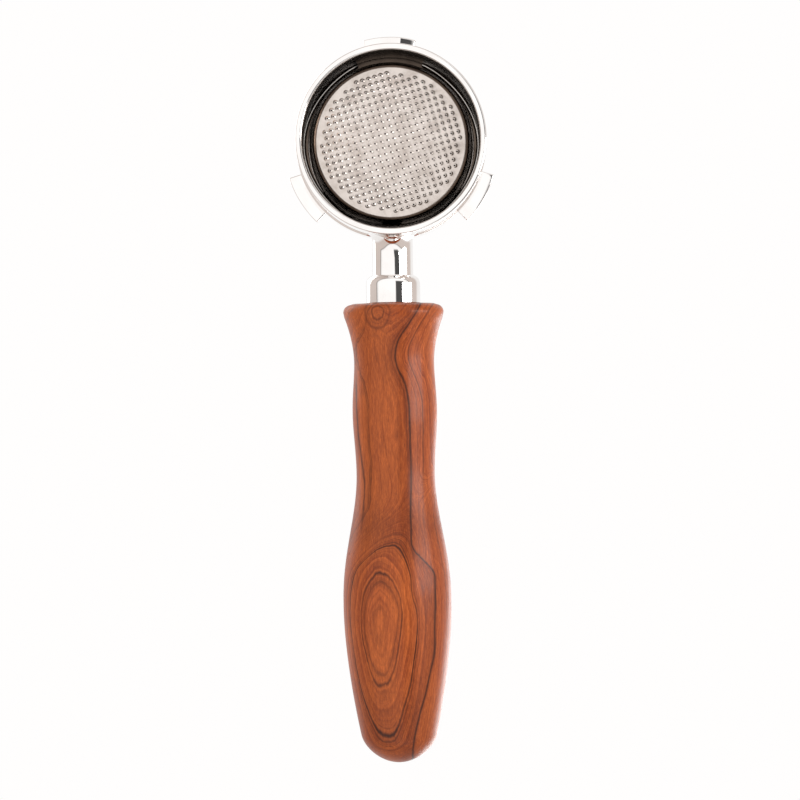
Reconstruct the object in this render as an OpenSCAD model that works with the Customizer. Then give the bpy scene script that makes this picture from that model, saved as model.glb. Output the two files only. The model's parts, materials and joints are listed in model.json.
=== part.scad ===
// Bottomless three-lug portafilter: cast ring with neck, perforated basket, retaining spring
// and a turned wooden handle that screws on a stud.
// +Z points up to the machine. The origin is on the ring's axis, in the plane of its lower rim.
// The handle runs towards -Y and rises gently, so the part rests level on its rim and handle.

/* [Ring] */
// Outer radius of the ring's wall
ring_r = 31.5; // [30.5:0.1:32.5]
// Radius of the ring's bore below the basket's seat
ring_bore_r = 29.4; // [29.2:0.1:29.6]
// Height of the ring
ring_h = 29.5; // [28:0.5:31]
// How far the band around the lugs stands out of the wall
band_proud = 0.4; // [0.2:0.1:0.8]
// Radius of the rounded lower rim's edges
rim_round = 0.7; // [0.4:0.1:0.9]

/* [Lugs] */
// Radius to the lugs' tips
lug_r = 36.2; // [35:0.1:37]
// Angle that each lug covers
lug_angle = 28.5; // [26:0.5:32]
// Height of the lugs' underside above the lower rim
lug_z = 20; // [18:0.5:22]
// Thickness of a lug
lug_t = 5; // [4:0.5:6]
// Length of the lead-in ramp on a lug's underside
ramp_length = 5; // [3:0.5:7]
// How much the lead-in ramp takes off the lug's end
ramp_rise = 1.6; // [0.8:0.2:2.4]

/* [Basket] */
// Inner radius of the basket's straight wall
basket_r = 27; // [26.6:0.1:27]
// Thickness of the basket's wall
basket_wall = 0.5; // [0.4:0.1:0.5]
// Thickness of the basket's floor and rim
basket_floor = 0.6; // [0.4:0.1:0.8]
// Outer radius at the basket's foot
basket_foot_r = 25.9; // [25.5:0.1:26]
// Height of the basket's underside above the lower rim
basket_z = 12; // [11:0.5:13]
// Radius of the basket's turned-out rim
flange_r = 30.5; // [30:0.1:31]
// Distance between neighbouring holes
hole_pitch = 2.115; // [2:0.005:2.4]
// Diameter of a hole
hole_d = 0.6; // [0.4:0.1:0.8]
// Radius of the perforated field
field_r = 23.2; // [20:0.1:23.4]
// Angle of the hole lattice
lattice_angle = -16.3; // [-45:0.1:45]

/* [Spring] */
// Diameter of the retaining spring's wire
wire_d = 1.4; // [1.2:0.1:1.4]
// Radius of the wire's centre where it sits in its groove
wire_out = 29.4; // [29.3:0.1:29.4]
// Radius of the wire's centre where it comes nearest to the basket
wire_in = 28.5; // [28.5:0.1:28.7]
// Angle of the spring's gap, opposite the handle
spring_gap = 44; // [36:1:50]
// Height of the spring above the lower rim
spring_z = 22; // [21:0.5:24]

/* [Handle] */
// Radius of the neck
neck_r = 6.85; // [6.5:0.05:7.2]
// Height of the handle's axis where it leaves the ring
neck_z = 16.7; // [16.6:0.1:17]
// Width of the web under the neck, where it meets the ring
saddle_w = 8; // [4:1:9]
// Distance from the ring's axis to the neck's shoulder
neck_end = 43.9; // [42:0.1:46]
// Radius of the ferrule
ferrule_r = 9.1; // [8.9:0.1:9.5]
// Distance from the ring's axis to the end of the ferrule
ferrule_end = 53.7; // [52:0.1:56]
// Length of the wooden handle
wood_length = 153.8; // [145:0.1:160]
// Largest radius of the handle's grip bulb
bulb_r = 18.1; // [17.5:0.1:18.3]
// Distance from the ring's axis to the middle of the grip bulb
bulb_at = 155.5; // [152:0.5:158]
// How far the grip bulb stays above the surface that the rim rests on
belly_gap = 0.1; // [0.05:0.05:0.3]

/* [Fastening] */
// Major radius of the stud's thread
stud_r = 4.95; // [4.9:0.01:4.95]
// Pitch of the stud's thread
thread_pitch = 1.5; // [1.25:0.25:1.5]
// Length of the stud in the neck
stud_in_neck = 14; // [12:0.5:15]
// Length of the stud in the handle
stud_in_wood = 20; // [16:0.5:22]
// Radial clearance between the stud and the insert
stud_clearance = 0.07; // [0.05:0.01:0.1]
// Outer radius of the brass insert
insert_r = 7.5; // [7:0.1:8]
// Thickness of the fibre washer, which lies in a recess of the wood's end under the ferrule
washer_t = 0.8; // [0.6:0.1:1]
// Outer radius of the fibre washer
washer_r = 8.2; // [7.8:0.1:8.4]

/* [Hidden] */
$fn = 96;
wood_color = "#b5522a";
steel_color = "#c9ccd0";
tilt = atan((bulb_r + belly_gap - neck_z) / (bulb_at - ring_r));
axis_z = neck_z - ring_r * tan(tilt);
wood_start = ferrule_end;
recess_gap = 0.02;
insert_length = stud_in_wood + 2;
seat_z = ring_h - 6;
seat_r = basket_r + basket_wall + 0.5;
lug_angles = [90, 211.5, 328.5];
ramp_angle = atan(ramp_rise / ramp_length);

// Places children on the handle's axis, with their own +Z along it and away from the ring
module along_handle(distance) {
    translate([0, 0, axis_z]) rotate([90 - tilt, 0, 0]) translate([0, 0, distance]) children();
}

// Points of an arc about c, from angle a to angle b
function arc(c, r, a, b, steps = 6) =
    [for (i = [0:steps]) let (t = a + (b - a) * i / steps) [c.x + r * cos(t), c.y + r * sin(t)]];

module ring_profile() {
    r = rim_round;
    band_z = lug_z - 1;
    polygon(concat(
        arc([ring_bore_r + r, r], r, 180, 270),
        arc([ring_r - r, r], r, 270, 360),
        [[ring_r, band_z], [ring_r + band_proud, band_z + band_proud]],
        arc([ring_r + band_proud - r, ring_h - r], r, 0, 90),
        [[seat_r + 0.4, ring_h], [seat_r, ring_h - 0.4], [seat_r, seat_z]],
        [[ring_bore_r, seat_z]]
    ));
}

// One bayonet lug, centred on +X, with a ramp under the end that enters the machine first
module lug() {
    c = 0.4;
    inner = ring_r - 0.8;
    low = lug_z;
    high = lug_z + lug_t;
    difference() {
        rotate([0, 0, -lug_angle / 2]) rotate_extrude(angle = lug_angle)
            polygon([[inner, low], [lug_r - c, low], [lug_r, low + c], [lug_r, high - c],
                     [lug_r - c, high], [inner, high]]);
        rotate([0, 0, lug_angle / 2]) translate([ring_r - 2, -ramp_length, low])
            rotate([ramp_angle, 0, 0]) translate([0, 0, -6]) cube([8, 12, 6]);
    }
}

// The neck meets the ring in a small fillet, steps out in a rounded shoulder and ends as the ferrule
module neck_profile() {
    flare = 2;
    flare_end = ring_r + 2.2;
    shoulder = 3;
    shoulder_from = 360 - acos((neck_r - ferrule_r + shoulder) / shoulder);
    polygon(concat(
        [[0, ring_bore_r - 3], [neck_r + flare, ring_bore_r - 3]],
        arc([neck_r + flare, flare_end], flare, 265, 180, 8),
        arc([ferrule_r - shoulder, neck_end + shoulder], shoulder, shoulder_from, 360, 8),
        arc([ferrule_r - 0.3, ferrule_end - 0.3], 0.3, 0, 90, 3),
        [[0, ferrule_end]]
    ));
}

// The web that carries the neck's underside down to the rim in one hollow curve
module saddle() {
    r = 6.5;
    low = 1;
    far = ring_r + r;
    neck_bottom = neck_z - neck_r;
    translate([-saddle_w / 2, 0, 0]) rotate([90, 0, 90]) linear_extrude(saddle_w)
        polygon(concat(
            [[-ring_r + 2, low], [-ring_r + 2, neck_z], [-far, neck_z], [-far, neck_bottom]],
            [for (t = [0:10:80]) [-far + r * sin(t), neck_bottom - (neck_bottom - low) * (1 - cos(t))]],
            [[-ring_r, low]]
        ));
}

module head() {
    color(steel_color) difference() {
        union() {
            rotate_extrude() ring_profile();
            for (a = lug_angles) rotate([0, 0, a]) lug();
            difference() {
                union() {
                    along_handle(0) rotate_extrude() neck_profile();
                    saddle();
                }
                translate([0, 0, -10]) cylinder(r = ring_r - 0.6, h = ring_h + 20);
            }
        }
        translate([0, 0, spring_z]) rotate_extrude() translate([ring_bore_r - 0.1, -wire_d / 2 - 0.1])
            square([wire_out + wire_d / 2 + 0.15 - ring_bore_r, wire_d + 0.2]);
        along_handle(ferrule_end - stud_in_neck - 0.5) cylinder(r = stud_r, h = stud_in_neck + 1);
    }
}

module basket_profile() {
    foot = 1.5;
    wall_r = basket_r + basket_wall;
    bend_z = basket_z + 8;
    floor_top = basket_z + basket_floor;
    top = ring_h + basket_floor;
    polygon(concat(
        [[0, basket_z]],
        arc([basket_foot_r - foot, basket_z + foot], foot, 270, 360, 6),
        [[wall_r, bend_z], [wall_r, ring_h], [flange_r, ring_h]],
        arc([flange_r - 0.3, top - 0.3], 0.3, 0, 90, 3),
        arc([basket_r + 0.9, top - 0.9], 0.9, 90, 180, 5),
        [[basket_r, bend_z]],
        arc([basket_foot_r - foot, basket_z + foot], foot - basket_floor, 360, 270, 6),
        [[0, floor_top]]
    ));
}

// Places of the holes: every lattice point that lies inside the perforated field
reach = ceil(field_r / hole_pitch);
hole_places = [for (i = [-reach:reach], j = [-reach:reach])
    let (p = [(i + 0.5) * hole_pitch, (j + 0.5) * hole_pitch]) if (norm(p) <= field_r) p];

module filter_basket() {
    color(steel_color) difference() {
        rotate_extrude() basket_profile();
        rotate([0, 0, lattice_angle]) for (p = hole_places)
            translate([p.x, p.y, basket_z - 0.5]) cylinder(d = hole_d, h = basket_floor + 1, $fn = 16);
    }
}

// The wire is a rounded square: its corners rest in the ring's groove and its sides bow in
// towards the basket. It is swept as one tube along that curve.
function wire_centre(a) = (wire_out + wire_in) / 2 + (wire_out - wire_in) / 2 * cos(4 * a);
function wire_point(a) = wire_centre(a) * [cos(a), sin(a)];

module retaining_spring() {
    rings = 84;
    sides = 10;
    from = 90 + spring_gap / 2;
    sweep = 360 - spring_gap;
    points = [for (i = [0:rings], k = [0:sides - 1]) let (
        a = from + sweep * i / rings,
        along = wire_point(a + 0.5) - wire_point(a - 0.5),
        out = [along.y, -along.x] / norm(along),
        t = 360 * k / sides,
        flat = wire_point(a) + wire_d / 2 * cos(t) * out)
        [flat.x, flat.y, spring_z + wire_d / 2 * sin(t)]];
    skin = [for (i = [0:rings - 1], k = [0:sides - 1])
        let (k2 = (k + 1) % sides, u = i * sides, v = u + sides) [u + k, u + k2, v + k2, v + k]];
    ends = [[for (k = [sides - 1:-1:0]) k], [for (k = [0:sides - 1]) rings * sides + k]];
    color("#a9a6a0") polyhedron(points, concat(skin, ends));
}

// One turn of thread is drawn as a ring of the same section
module stud() {
    start = ferrule_end - stud_in_neck;
    full = stud_in_neck + washer_t + stud_in_wood;
    turns = floor((stud_in_wood - 1) / thread_pitch);
    groove = 0.62 * thread_pitch;
    color("#b9bbbe") along_handle(start) difference() {
        union() {
            cylinder(r = stud_r, h = full - 1);
            translate([0, 0, full - 1]) cylinder(r1 = stud_r, r2 = stud_r - 1, h = 1);
        }
        for (i = [0:turns - 1])
            translate([0, 0, stud_in_neck + washer_t + (i + 0.5) * thread_pitch]) rotate_extrude()
                polygon([[stud_r + 0.1, -groove / 2], [stud_r + 0.1, groove / 2], [stud_r - groove, 0]]);
    }
}

module washer() {
    color("#4a3a2c") along_handle(ferrule_end) difference() {
        cylinder(r = washer_r, h = washer_t);
        translate([0, 0, -1]) cylinder(r = stud_r + stud_clearance, h = washer_t + 2);
    }
}

module insert() {
    color("#c49a4a") along_handle(wood_start + washer_t) difference() {
        cylinder(r = insert_r, h = insert_length);
        translate([0, 0, -1]) cylinder(r = stud_r + stud_clearance, h = stud_in_wood + 2);
    }
}

// The turned outline's stations after the flare, as [distance from the handle's top, radius]
turned = [[19.7, 13.4], [36.4, 14.16], [57.5, 13.12], [bulb_at - wood_start - 3, bulb_r]];
flare_at = [3.7, 16.8];
top_r = 13.9;
top_round = 2.6;
tip_round = 9.5;
tip_taper = 0.011;
tip_power = 1.65;

// The flare falls away steeply and eases into the first waist
function flare(steps) = [for (i = [1:steps])
    let (t = i / steps, w = 1 - pow(1 - t, 1.85))
    [flare_at[1] + (turned[0][1] - flare_at[1]) * w, flare_at[0] + (turned[0][0] - flare_at[0]) * t]];

// A cosine blend from one turned station to the next
function blend(a, b, steps) = [for (i = [1:steps])
    let (t = i / steps, w = (1 - cos(180 * pow(t, 0.93))) / 2) a + (b - a) * [[t, 0], [0, w]]];

// The bulb tapers by a power of the distance from its middle and closes in a rounded tip
function tip(steps) = [for (i = [0:steps]) let (
    from = bulb_at - wood_start,
    d = (wood_length - from) * sin(90 * i / steps),
    closing = max(0, d + from - wood_length + tip_round) / tip_round)
    [(bulb_r - tip_taper * pow(d, tip_power)) * sqrt(max(0, 1 - closing * closing)), from + d]];

module handle_profile() {
    polygon(concat(
        [[0, 0], [top_r, 0]],
        arc([flare_at[1] - top_round, top_round + 0.3], top_round, 280, 360, 7),
        flare(8),
        [for (i = [0:len(turned) - 2], p = blend(turned[i], turned[i + 1], 8)) [p[1], p[0]]],
        tip(24)
    ));
}

module handle() {
    color(wood_color) along_handle(wood_start) difference() {
        rotate_extrude() handle_profile();
        translate([0, 0, washer_t / 2]) cylinder(r = insert_r, h = insert_length + washer_t / 2);
        translate([0, 0, -1]) cylinder(r = washer_r + 0.3, h = washer_t + 1 + recess_gap);
    }
}

head();
filter_basket();
retaining_spring();
stud();
washer();
insert();
handle();
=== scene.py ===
"""Looks of a bottomless portafilter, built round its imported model.

The script's own sizes are in millimetres, and MM turns them into metres."""

import json
import math

import bmesh
import bpy
from mathutils import Matrix, Vector, geometry


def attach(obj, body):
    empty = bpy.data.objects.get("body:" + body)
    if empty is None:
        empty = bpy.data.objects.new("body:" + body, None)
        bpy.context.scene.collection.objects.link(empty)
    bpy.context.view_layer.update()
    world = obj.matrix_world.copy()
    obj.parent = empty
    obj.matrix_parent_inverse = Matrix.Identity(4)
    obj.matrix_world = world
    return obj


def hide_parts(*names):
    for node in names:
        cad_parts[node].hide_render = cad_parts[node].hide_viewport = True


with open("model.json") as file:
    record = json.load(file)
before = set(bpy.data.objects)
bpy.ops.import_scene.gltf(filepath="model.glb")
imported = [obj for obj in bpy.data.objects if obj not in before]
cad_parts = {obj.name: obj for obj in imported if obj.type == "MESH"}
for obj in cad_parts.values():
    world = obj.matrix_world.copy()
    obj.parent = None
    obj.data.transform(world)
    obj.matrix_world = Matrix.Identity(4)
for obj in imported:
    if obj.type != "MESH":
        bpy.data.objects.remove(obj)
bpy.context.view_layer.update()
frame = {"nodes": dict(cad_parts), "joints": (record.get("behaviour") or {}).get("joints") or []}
MM = 0.001

# ---- Sizes in millimetres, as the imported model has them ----
RING_R, RING_BORE_R, RING_H = 31.5, 29.4, 29.5
BAND_PROUD, RIM_ROUND, SEAT_R, SEAT_DEEP = 0.4, 0.7, 28.0, 6.0
LUG_R, LUG_Z, LUG_T, LUG_ANGLE = 36.2, 20.0, 5.0, 28.5
RAMP_LENGTH, RAMP_RISE = 5.0, 1.6
LUG_ANGLES = (90, 211.5, 328.5)
BASKET_R, BASKET_WALL, BASKET_FLOOR, BASKET_Z = 27.0, 0.5, 0.6, 12.0
BASKET_FOOT_R, FOOT_ROUND, FLANGE_R = 25.9, 1.5, 30.5
HOLE_PITCH, HOLE_R, FIELD_R, LATTICE_ANGLE = 2.115, 0.3, 23.2, -16.3
SPRING_Z, WIRE_R, WIRE_OUT, WIRE_IN, SPRING_GAP = 22.0, 0.7, 29.4, 28.5, 44.0
NECK_R, NECK_END, FERRULE_R, FERRULE_END = 6.85, 43.9, 9.1, 53.7
STUD_R, THREAD_PITCH, STUD_IN_NECK, STUD_IN_WOOD = 4.95, 1.5, 14.0, 20.0
WASHER_T, WASHER_ROOM, WASHER_ROOM_R, INSERT_R = 0.8, 0.82, 8.5, 7.5
WOOD_LENGTH, BULB_R, BULB_AT = 153.8, 18.1, 101.8
FLARE, TOP_R, TOP_ROUND = (3.7, 16.8), 13.9, 2.6
STATIONS = ((19.7, 13.4), (36.4, 14.16), (57.5, 13.12), (BULB_AT - 3, BULB_R))
TIP_ROUND, TIP_TAPER, TIP_POWER = 9.5, 0.011, 1.65

# The handle's own frame: x across, y up, z along the handle, from the ferrule's end
unscrew = next(j for j in frame["joints"] if j["name"] == "handle_unscrew")
ALONG = Vector(unscrew["axis"]).normalized()
ACROSS = Vector((1, 0, 0))
UP = ALONG.cross(ACROSS)
HANDLE = Matrix((ACROSS, UP, ALONG)).transposed().to_4x4()
HANDLE.translation = Vector(unscrew["pos_m"])


# ---- Mesh helpers ----
def rounded(corners, steps=8, hold=0.12):
    """The closed outline through corners (x, y, radius), each rounded by its radius.
    A point held close to each end of an arc keeps the straight parts shading straight."""
    outline = []
    for i, (x, y, r) in enumerate(corners):
        p = Vector((x, y))
        if not r:
            outline.append(p)
            continue
        back = (Vector(corners[i - 1][:2]) - p).normalized()
        on = (Vector(corners[(i + 1) % len(corners)][:2]) - p).normalized()
        half = back.angle(on) / 2
        centre = p + (back + on).normalized() * (r / math.sin(half))
        start = p + back * (r / math.tan(half)) - centre
        turn = math.copysign(math.pi - 2 * half, start.cross(p - centre))
        outline.append(centre + start + back * hold)
        outline += [centre + Matrix.Rotation(turn * k / steps, 2) @ start for k in range(steps + 1)]
        outline.append(p + on * (r / math.tan(half) + hold))
    return outline


def add_rows(bm, rows, closed):
    """Faces between rows of points. A row of one point is a pole."""
    made = [[bm.verts.new(p) for p in row] for row in rows]
    pairs = list(zip(made, made[1:])) + ([(made[-1], made[0])] if closed else [])
    for a, b in pairs:
        n = max(len(a), len(b))
        for k in range(n):
            face = []
            for v in (a[k % len(a)], a[(k + 1) % len(a)], b[(k + 1) % len(b)], b[k % len(b)]):
                if v not in face:
                    face.append(v)
            bm.faces.new(face)
    return made


def turned_rows(outline, segments, place=None):
    """Rows of points for an outline of (radius, height) in millimetres, turned round the height axis."""
    place = place or Matrix.Identity(4)
    rows = []
    for r, z in outline:
        count = segments if r > 1e-6 else 1
        rows.append([
            place @ (Vector((r * math.cos(t), r * math.sin(t), z)) * MM)
            for t in (2 * math.pi * k / segments for k in range(count))
        ])
    return rows


def to_object(bm, name, sharp=30, merge=1e-7):
    bmesh.ops.remove_doubles(bm, verts=bm.verts, dist=merge)
    bmesh.ops.recalc_face_normals(bm, faces=bm.faces)
    mesh = bpy.data.meshes.new(name)
    bm.to_mesh(mesh)
    bm.free()
    mesh.shade_smooth()
    mesh.set_sharp_from_angle(angle=math.radians(sharp))
    obj = bpy.data.objects.new(name, mesh)
    bpy.context.scene.collection.objects.link(obj)
    return obj


def face_radius(face):
    """How far a face is from the ring's axis, and how much it looks away from that axis, from -1 to 1."""
    flat = Vector((face.center.x, face.center.y))
    return flat.length / MM, flat.normalized().dot(Vector(face.normal[:2]))


def place_piece(obj, body, node, material):
    obj.data.materials.append(material)
    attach(obj, body)
    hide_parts(node)


# ---- Pieces ----
def ring_outline():
    low_band = LUG_Z - 1
    outer = RING_R + BAND_PROUD
    seat = RING_H - SEAT_DEEP
    groove = WIRE_OUT + WIRE_R + 0.05
    half = WIRE_R + 0.1
    return rounded([
        (RING_BORE_R, 0, RIM_ROUND), (RING_R, 0, RIM_ROUND),
        (RING_R, low_band, 0.3), (outer, low_band + BAND_PROUD, 0.3),
        (outer, RING_H, RIM_ROUND), (SEAT_R, RING_H, 0.4), (SEAT_R, seat, 0.1),
        (RING_BORE_R, seat, 0.1),
        (RING_BORE_R, SPRING_Z + half, 0.1), (groove, SPRING_Z + half, 0.1),
        (groove, SPRING_Z - half, 0.1), (RING_BORE_R, SPRING_Z - half, 0.1),
    ], hold=0.05)


def add_lug(bm, centre):
    """A bayonet lug with softened edges. The ramp is under its counter-clockwise end."""
    inner = RING_R - 1
    half = math.radians(LUG_ANGLE / 2)
    ramp = RAMP_LENGTH / LUG_R
    angles = [-half + (2 * half - ramp) * k / 12 for k in range(13)] + [half - ramp / 2, half]
    rows = []
    for a in angles:
        low = LUG_Z + RAMP_RISE * max(0, 1 - (half - a) / ramp)
        spin = Matrix.Rotation(a + math.radians(centre), 3, "Z")
        rows.append([
            spin @ (Vector((r, 0, z)) * MM)
            for r, z in ((inner, low), (LUG_R, low), (LUG_R, LUG_Z + LUG_T), (inner, LUG_Z + LUG_T))
        ])
    made = add_rows(bm, rows, closed=False)
    bm.faces.new(made[0])
    bm.faces.new(made[-1])
    bm.normal_update()
    bmesh.ops.recalc_face_normals(bm, faces=list({f for row in made for v in row for f in v.link_faces}))
    edges = {e for row in made for v in row for e in v.link_edges}
    keen = [e for e in edges if e.calc_face_angle(0) > math.radians(12)]
    bmesh.ops.bevel(bm, geom=keen, offset=0.45 * MM, segments=4, profile=0.5, affect="EDGES")


def neck_rows(segments=128, steps=12):
    """The neck, its hollow blend into the ring, its shoulder and the ferrule's end with the stud's hole."""
    sink = 0.04
    wall = RING_R - sink
    axis_at = HANDLE.translation / MM
    rows = [[] for _ in range(steps + 2)]
    for k in range(segments):
        t = 2 * math.pi * k / segments
        x, y = math.cos(t), math.sin(t)
        below = max(0.0, -y)
        above = max(0.0, y)
        fillet = 1.9 + 5.2 * below ** 3 + 2.6 * above ** 3
        out = NECK_R + fillet
        slide = RING_R - FERRULE_END
        base = axis_at + ALONG * slide
        px = out * x
        pz = max(base.z + out * y, RIM_ROUND + 0.15)
        start = Vector((px, -math.sqrt(wall * wall - px * px), pz))
        toward = Vector((base.x - start.x, 0, base.z - start.z)).normalized()
        toward.y = -toward.x * start.x / start.y
        reach = math.sqrt(wall * wall - (NECK_R * x) ** 2) + fillet - FERRULE_END
        stop = axis_at + ALONG * reach + ACROSS * (NECK_R * x) + UP * (NECK_R * y)
        span = (stop - start).length * 0.42
        a, b = start + toward * span, stop - ALONG * span
        deep = Vector((start.x * 0.94, start.y * 0.94, start.z))
        rows[0].append(deep * MM)
        for i, point in enumerate(geometry.interpolate_bezier(start, a, b, stop, steps + 1)):
            rows[1 + i].append(point * MM)
    shoulder = 3.0
    centre = Vector((FERRULE_R - shoulder, NECK_END + 3.2 - FERRULE_END))
    from_angle = -math.acos((NECK_R - centre.x) / shoulder)
    begin = centre.y + shoulder * math.sin(from_angle)
    outline = [(NECK_R, begin - 0.25), (NECK_R, begin - 0.04)]
    outline += [
        (centre.x + shoulder * math.cos(a), centre.y + shoulder * math.sin(a))
        for a in (from_angle * (1 - k / 12) for k in range(13))
    ]
    outline += [(FERRULE_R, centre.y + 0.2), (FERRULE_R, -0.55)]
    outline += [(FERRULE_R - 0.3 + 0.3 * math.cos(a), -0.3 + 0.3 * math.sin(a))
                for a in (math.pi / 2 * k / 5 for k in range(6))]
    outline += [(FERRULE_R - 0.5, 0), (STUD_R + 0.3, 0), (STUD_R, -0.3), (STUD_R, -STUD_IN_NECK - 0.5)]
    outline += [(0, -STUD_IN_NECK - 0.5)]
    return rows + turned_rows(outline, segments, HANDLE)


def make_head(material, bore_painted_shade_material):
    bm = bmesh.new()
    for a in LUG_ANGLES:
        add_lug(bm, a)
    add_rows(bm, turned_rows(ring_outline(), 256), closed=True)
    made = add_rows(bm, neck_rows(), closed=False)
    bm.faces.new(made[0])
    head = to_object(bm, "head_casting", sharp=32)
    place_piece(head, "ring_body", "head", material)
    head.data.materials.append(bore_painted_shade_material)
    # Painted shade: the faces of the bore, the spring's groove and the seat above the rim take the dark
    # second material, which paints the shade of the ring's recess onto the steel.
    for face in head.data.polygons:
        radius, outward = face_radius(face)
        if RING_BORE_R - 1.5 < radius < WIRE_OUT + 1 and outward < 0.2 and face.center.z > RIM_ROUND * MM:
            face.material_index = 1


def dimple_rings(z, rise):
    """Radii and heights of one dimple's rings, from the hole's edge out. It stands down from the floor."""
    crown, foot = HOLE_R + 0.07, 0.93
    rings = [(HOLE_R, z - rise * 0.8)]
    for k in range(6):
        t = k / 5
        rings.append((crown + (foot - crown) * t, z - rise * (0.5 + 0.5 * math.cos(math.pi * t))))
    return rings


def hole_places():
    reach = math.ceil(FIELD_R / HOLE_PITCH)
    spin = Matrix.Rotation(math.radians(LATTICE_ANGLE), 2)
    for i in range(-reach, reach + 1):
        for j in range(-reach, reach + 1):
            p = Vector(((i + 0.5) * HOLE_PITCH, (j + 0.5) * HOLE_PITCH))
            if p.length <= FIELD_R:
                yield spin @ p


def middle_of(points, face):
    return sum((points[k] for k in face), Vector((0, 0))) / len(face)


def add_floor(bm, edge_r, segments):
    """Both faces of the perforated floor: a dimple round each hole and flat metal between them."""
    points = 12
    places = list(hole_places())
    skins = ((BASKET_Z, 0.24), (BASKET_Z + BASKET_FLOOR, 0.20))
    for p in places:
        rows = []
        for z, rise in skins:
            part = [
                [Vector((p.x + r * math.cos(t), p.y + r * math.sin(t), h)) * MM
                 for t in (2 * math.pi * k / points for k in range(points))]
                for r, h in dimple_rings(z, rise)
            ]
            rows = list(reversed(part)) if not rows else rows + part
        add_rows(bm, rows, closed=False)
    foot = dimple_rings(0, 0)[-1][0]
    flat = [Vector((edge_r * math.cos(t), edge_r * math.sin(t)))
            for t in (2 * math.pi * k / segments for k in range(segments))]
    edges = [(k, (k + 1) % segments) for k in range(segments)]
    for p in places:
        first = len(flat)
        flat += [Vector((p.x + foot * math.cos(t), p.y + foot * math.sin(t)))
                 for t in (2 * math.pi * k / points for k in range(points))]
        edges += [(first + k, first + (k + 1) % points) for k in range(points)]
    verts, _, faces, *_ = geometry.delaunay_2d_cdt(flat, edges, [], 0, 1e-6)
    inside = foot * math.cos(math.pi / points) * 0.99
    keep = [f for f in faces
            if all((middle_of(verts, f) - p).length > inside for p in places)]
    for z, _ in skins:
        made = [bm.verts.new((v.x * MM, v.y * MM, z * MM)) for v in verts]
        for f in keep:
            bm.faces.new([made[v] for v in f])


def make_basket(material, wall_painted_shade_material):
    wall_r = BASKET_R + BASKET_WALL
    bend = BASKET_Z + 8
    bend_round = 6
    floor_top = BASKET_Z + BASKET_FLOOR
    top = RING_H + BASKET_FLOOR
    edge = BASKET_FOOT_R - FOOT_ROUND - 0.12
    skin = rounded([
        (edge, BASKET_Z, 0), (BASKET_FOOT_R, BASKET_Z, FOOT_ROUND), (wall_r, bend, bend_round),
        (wall_r, RING_H, 0.25), (FLANGE_R, RING_H, 0.25), (FLANGE_R, top, 0.3), (BASKET_R, top, 0.9),
        (BASKET_R, bend, bend_round),
        (BASKET_FOOT_R - BASKET_FLOOR, floor_top, FOOT_ROUND - BASKET_FLOOR),
        (edge, floor_top, 0),
    ], hold=0.05)
    segments = 192
    bm = bmesh.new()
    add_rows(bm, turned_rows(skin, segments), closed=False)
    add_floor(bm, edge, segments)
    basket = to_object(bm, "perforated_basket", sharp=50, merge=2e-6)
    place_piece(basket, "basket_body", "filter_basket", material)
    basket.data.materials.append(wall_painted_shade_material)
    # Painted shade: the basket's outer wall inside the ring and the walls of its holes take the dark second
    # material, which paints the shade of the gap and of the holes.
    for face in basket.data.polygons:
        radius, outward = face_radius(face)
        painted_shade_wall = radius > BASKET_FOOT_R - 0.6 and outward > 0.75 and face.center.z < RING_H * MM
        painted_shade_hole = radius < FIELD_R + 1 and abs(face.normal.z) < 0.5
        if painted_shade_wall or painted_shade_hole:
            face.material_index = 1


def make_spring(material):
    """The rounded-square wire. Its ends at the gap are slightly rounded off."""
    start = math.radians(90 + SPRING_GAP / 2)
    sweep = math.radians(360 - SPRING_GAP)

    def centre(a):
        r = (WIRE_OUT + WIRE_IN) / 2 + (WIRE_OUT - WIRE_IN) / 2 * math.cos(4 * a)
        return Vector((r * math.cos(a), r * math.sin(a), SPRING_Z))

    rows = []
    rings = 240
    for k in range(rings + 1):
        a = start + sweep * k / rings
        p = centre(a)
        ahead = (centre(a + 0.01) - centre(a - 0.01)).normalized()
        out = Vector((ahead.y, -ahead.x, 0))
        end = min(k, rings - k)
        size = WIRE_R * (1 if end > 1 else (0.75, 0.95)[end])
        rows.append([(p + (out * math.cos(t) + Vector((0, 0, 1)) * math.sin(t)) * size) * MM
                     for t in (2 * math.pi * i / 20 for i in range(20))])
    bm = bmesh.new()
    made = add_rows(bm, rows, closed=False)
    bm.faces.new(made[0])
    bm.faces.new(made[-1])
    wire = to_object(bm, "spring_wire", sharp=60)
    place_piece(wire, "ring_body", "retaining_spring", material)


def make_stud(material):
    """The stud's real helical thread, as a height on a fine cylinder."""
    depth = 0.8
    segments = 48
    low, high = -STUD_IN_NECK, WASHER_T + STUD_IN_WOOD - 0.5
    count = int((high - low) / THREAD_PITCH * 12)
    rows = []
    for i in range(count + 1):
        z = low + (high - low) * i / count
        lead = min(1.0, (z - low) / 1.0, (high - z) / 1.0)
        row = []
        for k in range(segments):
            phase = (z / THREAD_PITCH - k / segments) % 1
            tooth = min(1.0, 1.25 * abs(2 * phase - 1))
            r = min(STUD_R - 0.02, STUD_R - depth * (1 - lead)) - depth * (1 - tooth)
            t = 2 * math.pi * k / segments
            row.append(HANDLE @ (Vector((r * math.cos(t), r * math.sin(t), z)) * MM))
        rows.append(row)
    bm = bmesh.new()
    made = add_rows(bm, rows, closed=False)
    bm.faces.new(made[0])
    bm.faces.new(made[-1])
    stud = to_object(bm, "threaded_stud", sharp=40)
    place_piece(stud, "ring_body", "stud", material)


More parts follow.
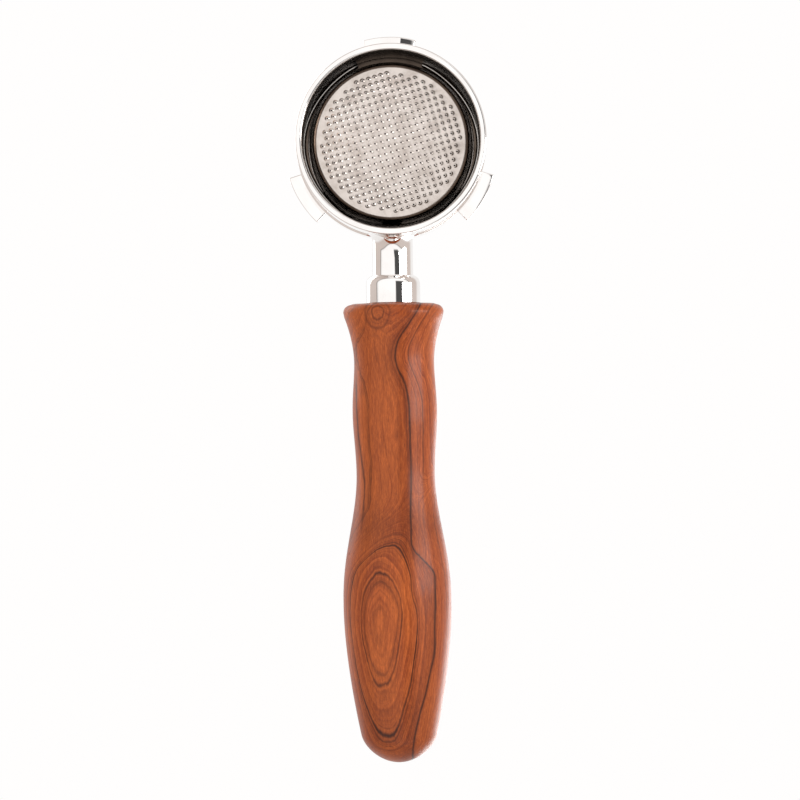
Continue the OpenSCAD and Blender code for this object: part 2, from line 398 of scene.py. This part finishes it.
def wood_outline():
    """(radius, distance) along the turned handle, from the rim of its recess to the tip."""
    outline = [(WASHER_ROOM_R + 0.15, 0), (WASHER_ROOM_R + 0.4, 0), (TOP_R - 0.3, 0.02)]
    centre = Vector((FLARE[1] - TOP_ROUND, TOP_ROUND + 0.3))
    outline += [(centre.x + TOP_ROUND * math.sin(a), centre.y - TOP_ROUND * math.cos(a))
                for a in (math.radians(8 + 82 * k / 14) for k in range(15))]
    first = STATIONS[0]
    outline += [
        (FLARE[1] + (first[1] - FLARE[1]) * (1 - (1 - t) ** 1.85), FLARE[0] + (first[0] - FLARE[0]) * t)
        for t in (k / 20 for k in range(1, 21))
    ]
    for (z0, r0), (z1, r1) in zip(STATIONS, STATIONS[1:]):
        outline += [
            (r0 + (r1 - r0) * (1 - math.cos(math.pi * t**0.93)) / 2, z0 + (z1 - z0) * t)
            for t in (k / 24 for k in range(1, 25))
        ]
    for k in range(61):
        d = (WOOD_LENGTH - BULB_AT) * math.sin(math.pi / 2 * k / 60)
        closing = max(0.0, d + BULB_AT - WOOD_LENGTH + TIP_ROUND) / TIP_ROUND
        tapered = BULB_R - TIP_TAPER * d**TIP_POWER
        outline.append((tapered * math.sqrt(max(0.0, 1 - closing**2)), BULB_AT + d))
    return outline


def make_handle(material):
    hole = WASHER_T + STUD_IN_WOOD + 2
    inside = [(0, hole), (INSERT_R, hole), (INSERT_R, WASHER_ROOM), (WASHER_ROOM_R, WASHER_ROOM),
              (WASHER_ROOM_R, 0.15)]
    bm = bmesh.new()
    add_rows(bm, turned_rows(inside + wood_outline(), 192, HANDLE), closed=False)
    wood = to_object(bm, "turned_handle", sharp=35)
    place_piece(wood, "handle_body", "handle", material)


# ---- Shader helpers ----
class Sum:
    """A number in a node tree, so that a field can be written as ordinary arithmetic."""

    def __init__(self, tree, socket):
        self.tree, self.socket = tree, socket

    def math(self, operation, *others, **settings):
        node = self.tree.nodes.new("ShaderNodeMath")
        node.operation = operation
        for name, value in settings.items():
            setattr(node, name, value)
        for slot, value in zip(node.inputs, (self, *others)):
            link(self.tree, value, slot)
        return Sum(self.tree, node.outputs[0])

    def __add__(self, other):
        return self.math("ADD", other)

    def __sub__(self, other):
        return self.math("SUBTRACT", other)

    def __mul__(self, other):
        return self.math("MULTIPLY", other)

    def __neg__(self):
        return self.math("MULTIPLY", -1.0)

    def squared(self):
        return self.math("MULTIPLY", self)

    def exp(self):
        return self.math("EXPONENT")

    def step(self, low, high, to_low=0.0, to_high=1.0):
        """A smooth step from to_low below low to to_high above high."""
        node = self.tree.nodes.new("ShaderNodeMapRange")
        node.interpolation_type = "SMOOTHSTEP"
        link(self.tree, self, node.inputs["Value"])
        for name, value in (("From Min", low), ("From Max", high), ("To Min", to_low), ("To Max", to_high)):
            node.inputs[name].default_value = value
        return Sum(self.tree, node.outputs["Result"])


def link(tree, value, slot):
    """Connects a Sum or a socket to an input, or sets the input to a plain value."""
    if isinstance(value, Sum):
        value = value.socket
    if isinstance(value, bpy.types.NodeSocket):
        tree.links.new(value, slot)
    else:
        slot.default_value = value


def new_material(name):
    material = bpy.data.materials.new(name)
    material.use_nodes = True
    tree = material.node_tree
    return material, tree, tree.nodes["Principled BSDF"]


def coordinates(tree):
    return tree.nodes.new("ShaderNodeTexCoord").outputs["Object"]


def stretched(tree, vector, scale):
    node = tree.nodes.new("ShaderNodeVectorMath")
    node.operation = "MULTIPLY"
    tree.links.new(vector, node.inputs[0])
    node.inputs[1].default_value = scale
    return node.outputs[0]


def noise(tree, vector, scale, detail=2.0, roughness=0.5, w=None):
    """Noise in space, or along the number w."""
    node = tree.nodes.new("ShaderNodeTexNoise")
    node.inputs["Scale"].default_value = scale
    node.inputs["Detail"].default_value = detail
    node.inputs["Roughness"].default_value = roughness
    if w is None:
        tree.links.new(vector, node.inputs["Vector"])
    else:
        node.noise_dimensions = "1D"
        link(tree, w, node.inputs["W"])
    return Sum(tree, node.outputs["Fac"])


def mix(tree, factor, a, b):
    node = tree.nodes.new("ShaderNodeMix")
    node.data_type = "RGBA"
    link(tree, factor, node.inputs["Factor"])
    for slot, value in ((node.inputs[6], a), (node.inputs[7], b)):
        link(tree, value if not isinstance(value, tuple) else (*value, 1.0), slot)
    return node.outputs[2]


def bump(tree, height, strength, distance, normal=None):
    node = tree.nodes.new("ShaderNodeBump")
    node.inputs["Strength"].default_value = strength
    node.inputs["Distance"].default_value = distance
    link(tree, height, node.inputs["Height"])
    if normal:
        tree.links.new(normal, node.inputs["Normal"])
    return node.outputs[0]


# ---- Materials ----
def metal(name, light, dark, rough, grain, grain_scale, smudge=0.05, depth=2e-6):
    """Bare or plated metal: faint tarnish, polishing marks along grain_scale, and smudges in the gloss."""
    material, tree, shader = new_material(name)
    place = coordinates(tree)
    cloud = noise(tree, place, 90, 4)
    marks = noise(tree, stretched(tree, place, grain_scale), 1.0, 3, 0.6)
    link(tree, mix(tree, cloud.step(0.35, 0.75), light, dark), shader.inputs["Base Color"])
    shader.inputs["Metallic"].default_value = 1.0
    link(tree, cloud.step(0.3, 0.8, rough, rough + smudge) + marks * grain, shader.inputs["Roughness"])
    link(tree, bump(tree, marks, 0.25, depth), shader.inputs["Normal"])
    return material


def basket_metal():
    """Bright pressed steel, turned marks round the wall and a light etch. The holes' dark walls are painted
    shade, from the darker wall material.
    """
    material, tree, shader = new_material("pressed_steel")
    place = coordinates(tree)
    parts = tree.nodes.new("ShaderNodeSeparateXYZ")
    tree.links.new(place, parts.inputs[0])
    x, y, z = (Sum(tree, s) for s in parts.outputs)
    radius = (x.squared() + y.squared()).math("SQRT")
    rings = noise(tree, None, 9000, 2, 0.6, w=radius + z * 0.7)
    cloud = noise(tree, place, 160, 5, 0.6)
    link(tree, mix(tree, cloud.step(0.35, 0.7), (0.67, 0.605, 0.56), (0.54, 0.475, 0.43)),
         shader.inputs["Base Color"])
    shader.inputs["Metallic"].default_value = 1.0
    link(tree, cloud.step(0.3, 0.8, 0.17, 0.26) + rings * 0.04, shader.inputs["Roughness"])
    link(tree, bump(tree, noise(tree, place, 900, 3), 0.3, 6e-6, bump(tree, rings, 0.2, 3e-6)),
         shader.inputs["Normal"])
    return material


def washer_fibre():
    material, tree, shader = new_material("pressed_fibre")
    place = coordinates(tree)
    fibres = noise(tree, place, 1800, 5, 0.7)
    link(tree, mix(tree, fibres.step(0.3, 0.7), (0.10, 0.055, 0.035), (0.22, 0.14, 0.09)),
         shader.inputs["Base Color"])
    shader.inputs["Roughness"].default_value = 0.8
    link(tree, bump(tree, fibres, 0.5, 4e-5), shader.inputs["Normal"])
    return material


WOOD_ORANGE = (0.57, 0.128, 0.030)
WOOD_BROWN = (0.32, 0.062, 0.016)
WOOD_BRIGHT = (0.66, 0.165, 0.034)
WOOD_DEEP = (0.12, 0.022, 0.008)
WOOD_LINE = (0.030, 0.009, 0.006)


def gauss(value, middle, width):
    return (-((value - middle) * (1.0 / width)).squared()).exp()


def wood():
    """Figured rosewood. Growth layers lie almost square to the underside, so the turning cuts
    them into long ovals on the bulb; knots and one strong vein disturb them."""
    material, tree, shader = new_material("oiled_rosewood")
    place = coordinates(tree)

    def along(direction, sign=1.0):
        node = tree.nodes.new("ShaderNodeVectorMath")
        node.operation = "DOT_PRODUCT"
        tree.links.new(place, node.inputs[0])
        node.inputs[1].default_value = direction * (sign / MM)
        return Sum(tree, node.outputs["Value"]) - HANDLE.translation.dot(direction) * sign / MM

    u = along(ACROSS, -1.0)
    v = along(ALONG)
    w = along(UP, -1.0)

    # Slow drift of the layers, and a finer waver
    drift = noise(tree, stretched(tree, place, (70, 22, 70)), 1.0, 2) - 0.5
    waver = noise(tree, stretched(tree, place, (260, 60, 260)), 1.0, 3) - 0.5

    # The main vein runs down the right of the underside, swings in at the neck and out at the bulb
    path = (gauss(v, -3.0, 8.5) * 5.2 - gauss(v, 17.0, 9.5) * 4.6 + v.step(79, 91) * 7.4
            - v.step(112, 152) * 8.0 + 4.9)
    off = u - path + drift * 1.6 + waver * 1.4

    # On the bulb the layers are seen flat, and towards the neck they stand on edge beside the vein
    lean = math.radians(19.3)
    ahead = v - BULB_AT
    flat = w * math.cos(lean) - u * math.sin(lean) + ahead * 0.042 - ahead.math("ABSOLUTE") * 0.023
    edge = off * 0.5 + 8.0
    on_bulb = (v + u * 0.6).step(60, 82)
    layers = edge + (flat - edge).math("MULTIPLY", on_bulb) + drift * 1.3 + waver * 0.7
    # Knots: (across, along, height, width across, width along)
    for cu, cv, size, wide, long in ((-5.4, 3.6, 3.4, 3.0, 3.0), (-4.6, 7.0, 1.3, 4.6, 6.5),
                                     (-3.5, 41.0, 1.3, 4.2, 13.0), (9.0, 86.0, -1.5, 3.2, 4.0),
                                     (5.0, 96.0, -0.8, 2.0, 5.0)):
        layers = layers + gauss(u, cu, wide).math("MULTIPLY", gauss(v, cv, long)) * size

    growth = noise(tree, None, 1.1, 5, 0.65, w=layers)
    fine = noise(tree, None, 5.0, 3, 0.65, w=layers + 40.0)
    lines = noise(tree, None, 1.0, 2, 0.5, w=layers + 97.0).step(0.60, 0.78, 0.0, 0.55)
    for level, width, depth in ((13.75, 0.17, 1.0), (13.30, 0.12, 0.6), (14.2, 0.08, 0.35),
                                (16.6, 0.10, 0.60), (17.1, 0.09, 0.55), (12.6, 0.09, 0.5),
                                (11.7, 0.09, 0.5)):
        lines = lines + gauss(layers, level, width).math("MULTIPLY", on_bulb) * depth
    patchy = noise(tree, stretched(tree, place, (180, 50, 180)), 1.0, 3, 0.6).step(0.3, 0.6, 0.6, 1.0)
    lines = lines.math("MULTIPLY", patchy)

    front = w.step(-3, 3)
    vein = gauss(off, 0.0, 0.38).math("MULTIPLY", front)
    beside = (gauss(off, 4.2, 0.30) + gauss(off, 2.4, 0.22) * 0.6 + gauss(off, -1.0, 0.25) * 0.6)
    beside = beside.math("MULTIPLY", front).math("MULTIPLY", v.step(44, 66, 1.0, 0.25))
    smoke = gauss(off, -1.6, 2.4).math("MULTIPLY", front)
    below_eye = v - 3.0
    from_eye = ((u + 5.2).squared() + below_eye.squared() * below_eye.step(-1, 3, 1.0, 0.55)
                + waver * 3.0).math("MAXIMUM", 0.0).math("SQRT")
    eye = (gauss(from_eye, 1.9, 0.30) * 0.8 + gauss(from_eye, 2.9, 0.22) * 0.4
           + gauss(from_eye, 4.0, 0.40) * 0.55)
    eye = eye.math("MULTIPLY", front)
    gathered = gauss(v, 74.0, 7.0) * 0.40 + v.step(118, 142) * 0.28
    left_path = gauss(v, 62.0, 16.0) * 2.6 - 12.9
    left_vein = (gauss(u - left_path + waver * 1.8, 0.0, 0.30).math("MULTIPLY", front)
                 .math("MULTIPLY", v.step(18, 30)).math("MULTIPLY", v.step(66, 80, 1.0, 0.0)))

    fibre = noise(tree, stretched(tree, place, (1500, 110, 1500)), 1.0, 3, 0.62)
    fleck = noise(tree, stretched(tree, place, (2600, 520, 2600)), 1.0, 3, 0.6)
    pores = noise(tree, stretched(tree, place, (3400, 260, 3400)), 1.0, 2, 0.5).step(0.62, 0.72)
    shade = noise(tree, stretched(tree, place, (75, 22, 75)), 1.0, 3)

    tone = mix(tree, growth.step(0.30, 0.66), WOOD_BROWN, WOOD_ORANGE)
    tone = mix(tree, fine.step(0.36, 0.60, 0.42, 0.0), tone, WOOD_DEEP)
    tone = mix(tree, shade.step(0.35, 0.70, 0.0, 0.45), tone, WOOD_BRIGHT)
    tone = mix(tree, smoke * 0.42, tone, WOOD_DEEP)
    tone = mix(tree, gathered, tone, WOOD_DEEP)
    tone = mix(tree, eye * 0.8, tone, WOOD_LINE)
    tone = mix(tree, fleck.step(0.30, 0.70, 0.30, 0.0), tone, WOOD_DEEP)
    tone = mix(tree, fleck.step(0.50, 0.80, 0.0, 0.30), tone, WOOD_BRIGHT)
    tone = mix(tree, fibre.step(0.35, 0.70, 0.30, 0.0), tone, WOOD_DEEP)
    tone = mix(tree, lines.math("MINIMUM", 0.9), tone, WOOD_LINE)
    tone = mix(tree, beside * 0.55, tone, WOOD_LINE)
    tone = mix(tree, vein * 0.9, tone, WOOD_LINE)
    tone = mix(tree, left_vein * 0.75, tone, WOOD_LINE)
    tone = mix(tree, pores * 0.35, tone, WOOD_LINE)
    link(tree, tone, shader.inputs["Base Color"])
    link(tree, fibre.step(0.3, 0.8, 0.34, 0.48) + pores * 0.2, shader.inputs["Roughness"])
    shader.inputs["Specular IOR Level"].default_value = 0.16
    shader.inputs["Coat Weight"].default_value = 0.10
    shader.inputs["Coat Roughness"].default_value = 0.16
    grain = bump(tree, fibre * 0.6 - pores, 0.35, 2.5e-5)
    link(tree, grain, shader.inputs["Normal"])
    return material


# ---- Making the object ----
make_head(
    metal("polished_steel", (0.88, 0.86, 0.845), (0.82, 0.79, 0.77), 0.03, 0.03, (400, 400, 90), 0.04),
    # The dark bore material paints the shade of the ring's recess.
    metal("bore_painted_shade", (0.16, 0.125, 0.10), (0.07, 0.052, 0.042), 0.16, 0.10, (60, 60, 4000), 0.08),
)
make_basket(
    basket_metal(),
    # The dark wall material paints shade on the basket's outer wall and in its holes.
    metal("basket_wall_painted_shade", (0.20, 0.155, 0.125), (0.10, 0.078, 0.062), 0.14, 0.10, (60, 60, 4000), 0.08),
)
make_spring(metal("drawn_wire", (0.66, 0.63, 0.60), (0.48, 0.45, 0.42), 0.16, 0.1, (900, 900, 900)))
make_stud(metal("zinc_plate", (0.72, 0.73, 0.76), (0.55, 0.56, 0.60), 0.22, 0.12, (700, 700, 700)))
make_handle(wood())
for node, material in (("washer", washer_fibre()),
                       ("insert", metal("turned_brass", (0.80, 0.60, 0.28), (0.60, 0.40, 0.17), 0.2, 0.15,
                                        (300, 2500, 300)))):
    mesh = frame["nodes"][node].data
    mesh.materials.clear()
    mesh.materials.append(material)


# ---- Stage, light and camera ----
def one_sided(name, dark, light, seen_from_behind):
    """A plain surface that shows on one side and is clear from the other."""
    material, tree, shader = new_material(name)
    link(tree, mix(tree, noise(tree, coordinates(tree), 3, 3), dark, light), shader.inputs["Base Color"])
    shader.inputs["Roughness"].default_value = 0.9
    clear = tree.nodes.new("ShaderNodeBsdfTransparent")
    side = tree.nodes.new("ShaderNodeNewGeometry")
    both = tree.nodes.new("ShaderNodeMixShader")
    tree.links.new(side.outputs["Backfacing"], both.inputs[0])
    shown, hidden = (2, 1) if seen_from_behind else (1, 2)
    tree.links.new(shader.outputs[0], both.inputs[shown])
    tree.links.new(clear.outputs[0], both.inputs[hidden])
    tree.links.new(both.outputs[0], tree.nodes["Material Output"].inputs["Surface"])
    return material


def hide_from_light(obj):
    for ray in ("visible_glossy", "visible_diffuse", "visible_transmission", "visible_shadow"):
        setattr(obj, ray, False)


def make_floor():
    """A pale floor at the height that the part rests on. It is seen from above only, and doesn't
    shade the underside, because the main view looks up through it."""
    bm = bmesh.new()
    bmesh.ops.create_grid(bm, x_segments=2, y_segments=2, size=4.0)
    floor = to_object(bm, "floor")
    floor.data.materials.append(one_sided("pale_floor", (0.60, 0.60, 0.59), (0.64, 0.64, 0.63), False))
    hide_from_light(floor)


def make_world():
    """White surroundings, with a dark stand beside the camera below and a pinkish-grey band at the
    horizon, which has a thin darker line under it."""
    world = bpy.data.worlds.new("studio")
    bpy.context.scene.world = world
    world.use_nodes = True
    tree = world.node_tree
    parts = tree.nodes.new("ShaderNodeSeparateXYZ")
    tree.links.new(tree.nodes.new("ShaderNodeTexCoord").outputs["Generated"], parts.inputs[0])
    x, y, z = (Sum(tree, s) for s in parts.outputs)
    down = (-z).math("MAXIMUM", 0.05)
    across = x.math("DIVIDE", down)
    ahead = y.math("DIVIDE", down)
    stand = z.step(-0.45, -0.35, 1.0, 0.0)
    for edge in (across.step(-1.15, -0.90), across.step(-0.24, -0.17, 1.0, 0.0),
                 ahead.step(-0.9, -0.5), ahead.step(0.4, 0.8, 1.0, 0.0)):
        stand = stand.math("MULTIPLY", edge)
    band = z.step(-0.34, -0.28).math("MULTIPLY", z.step(0.35, 0.65, 1.0, 0.0))
    line = gauss(z, -0.30, 0.035)
    glow = z.step(-0.5, -0.35, 1.2, 1.0).math("MULTIPLY", stand * -0.93 + 1.0)
    glow = glow.math("MULTIPLY", line * -0.65 + 1.0)
    tint = mix(tree, band, (1.0, 0.99, 0.985), (0.72, 0.635, 0.59))
    background = tree.nodes["Background"]
    tree.links.new(tint, background.inputs["Color"])
    link(tree, glow, background.inputs["Strength"])


def make_mouth_shade():
    """A dark disc over the basket's mouth, seen from below only. It closes off the light behind the
    holes, as the surface does that such a part is laid on when it is pictured from below."""
    bm = bmesh.new()
    bmesh.ops.create_circle(bm, cap_ends=True, segments=64, radius=(BASKET_R - 0.5) * MM)
    shade = to_object(bm, "mouth_shade")
    shade.location.z = (RING_H + 1.2) * MM
    shade.data.materials.append(one_sided("dark_shade", (0.02, 0.017, 0.015), (0.03, 0.026, 0.022), True))
    hide_from_light(shade)


def make_light(name, place, aim, size, power):
    data = bpy.data.lights.new(name, "AREA")
    data.shape = "RECTANGLE"
    data.size, data.size_y = size
    data.energy = power
    light = bpy.data.objects.new(name, data)
    light.location = place
    light.rotation_euler = (Vector(aim) - Vector(place)).to_track_quat("-Z", "Y").to_euler()
    light.visible_camera = False
    bpy.context.scene.collection.objects.link(light)


def make_camera():
    """Straight below the part, with the ring at the top of the picture."""
    distance = 0.850
    field = 0.2628
    sideways, forward = -0.0018, -0.086
    roll_degrees = -0.8
    data = bpy.data.cameras.new("camera")
    data.sensor_width = 36
    data.lens = 36 * distance / field
    camera = bpy.data.objects.new("camera", data)
    face = Matrix(((-1, 0, 0), (0, 1, 0), (0, 0, -1)))
    roll = Matrix.Rotation(math.radians(roll_degrees), 3, "Z")
    camera.matrix_world = Matrix.Translation((sideways, forward, -distance)) @ (face @ roll).to_4x4()
    bpy.context.scene.collection.objects.link(camera)
    bpy.context.scene.camera = camera


make_floor()
make_mouth_shade()
make_world()
middle = (0, -0.09, 0.01)
make_light("key_above", (-0.5, -0.5, 0.9), middle, (0.7, 0.7), 5)
make_light("fill_above", (0.7, 0.3, 0.6), middle, (0.8, 0.6), 2)
make_light("key_below", (-0.75, -0.05, -0.38), middle, (0.25, 0.7), 4)
make_camera()
bpy.context.scene.view_settings.view_transform = "Standard"
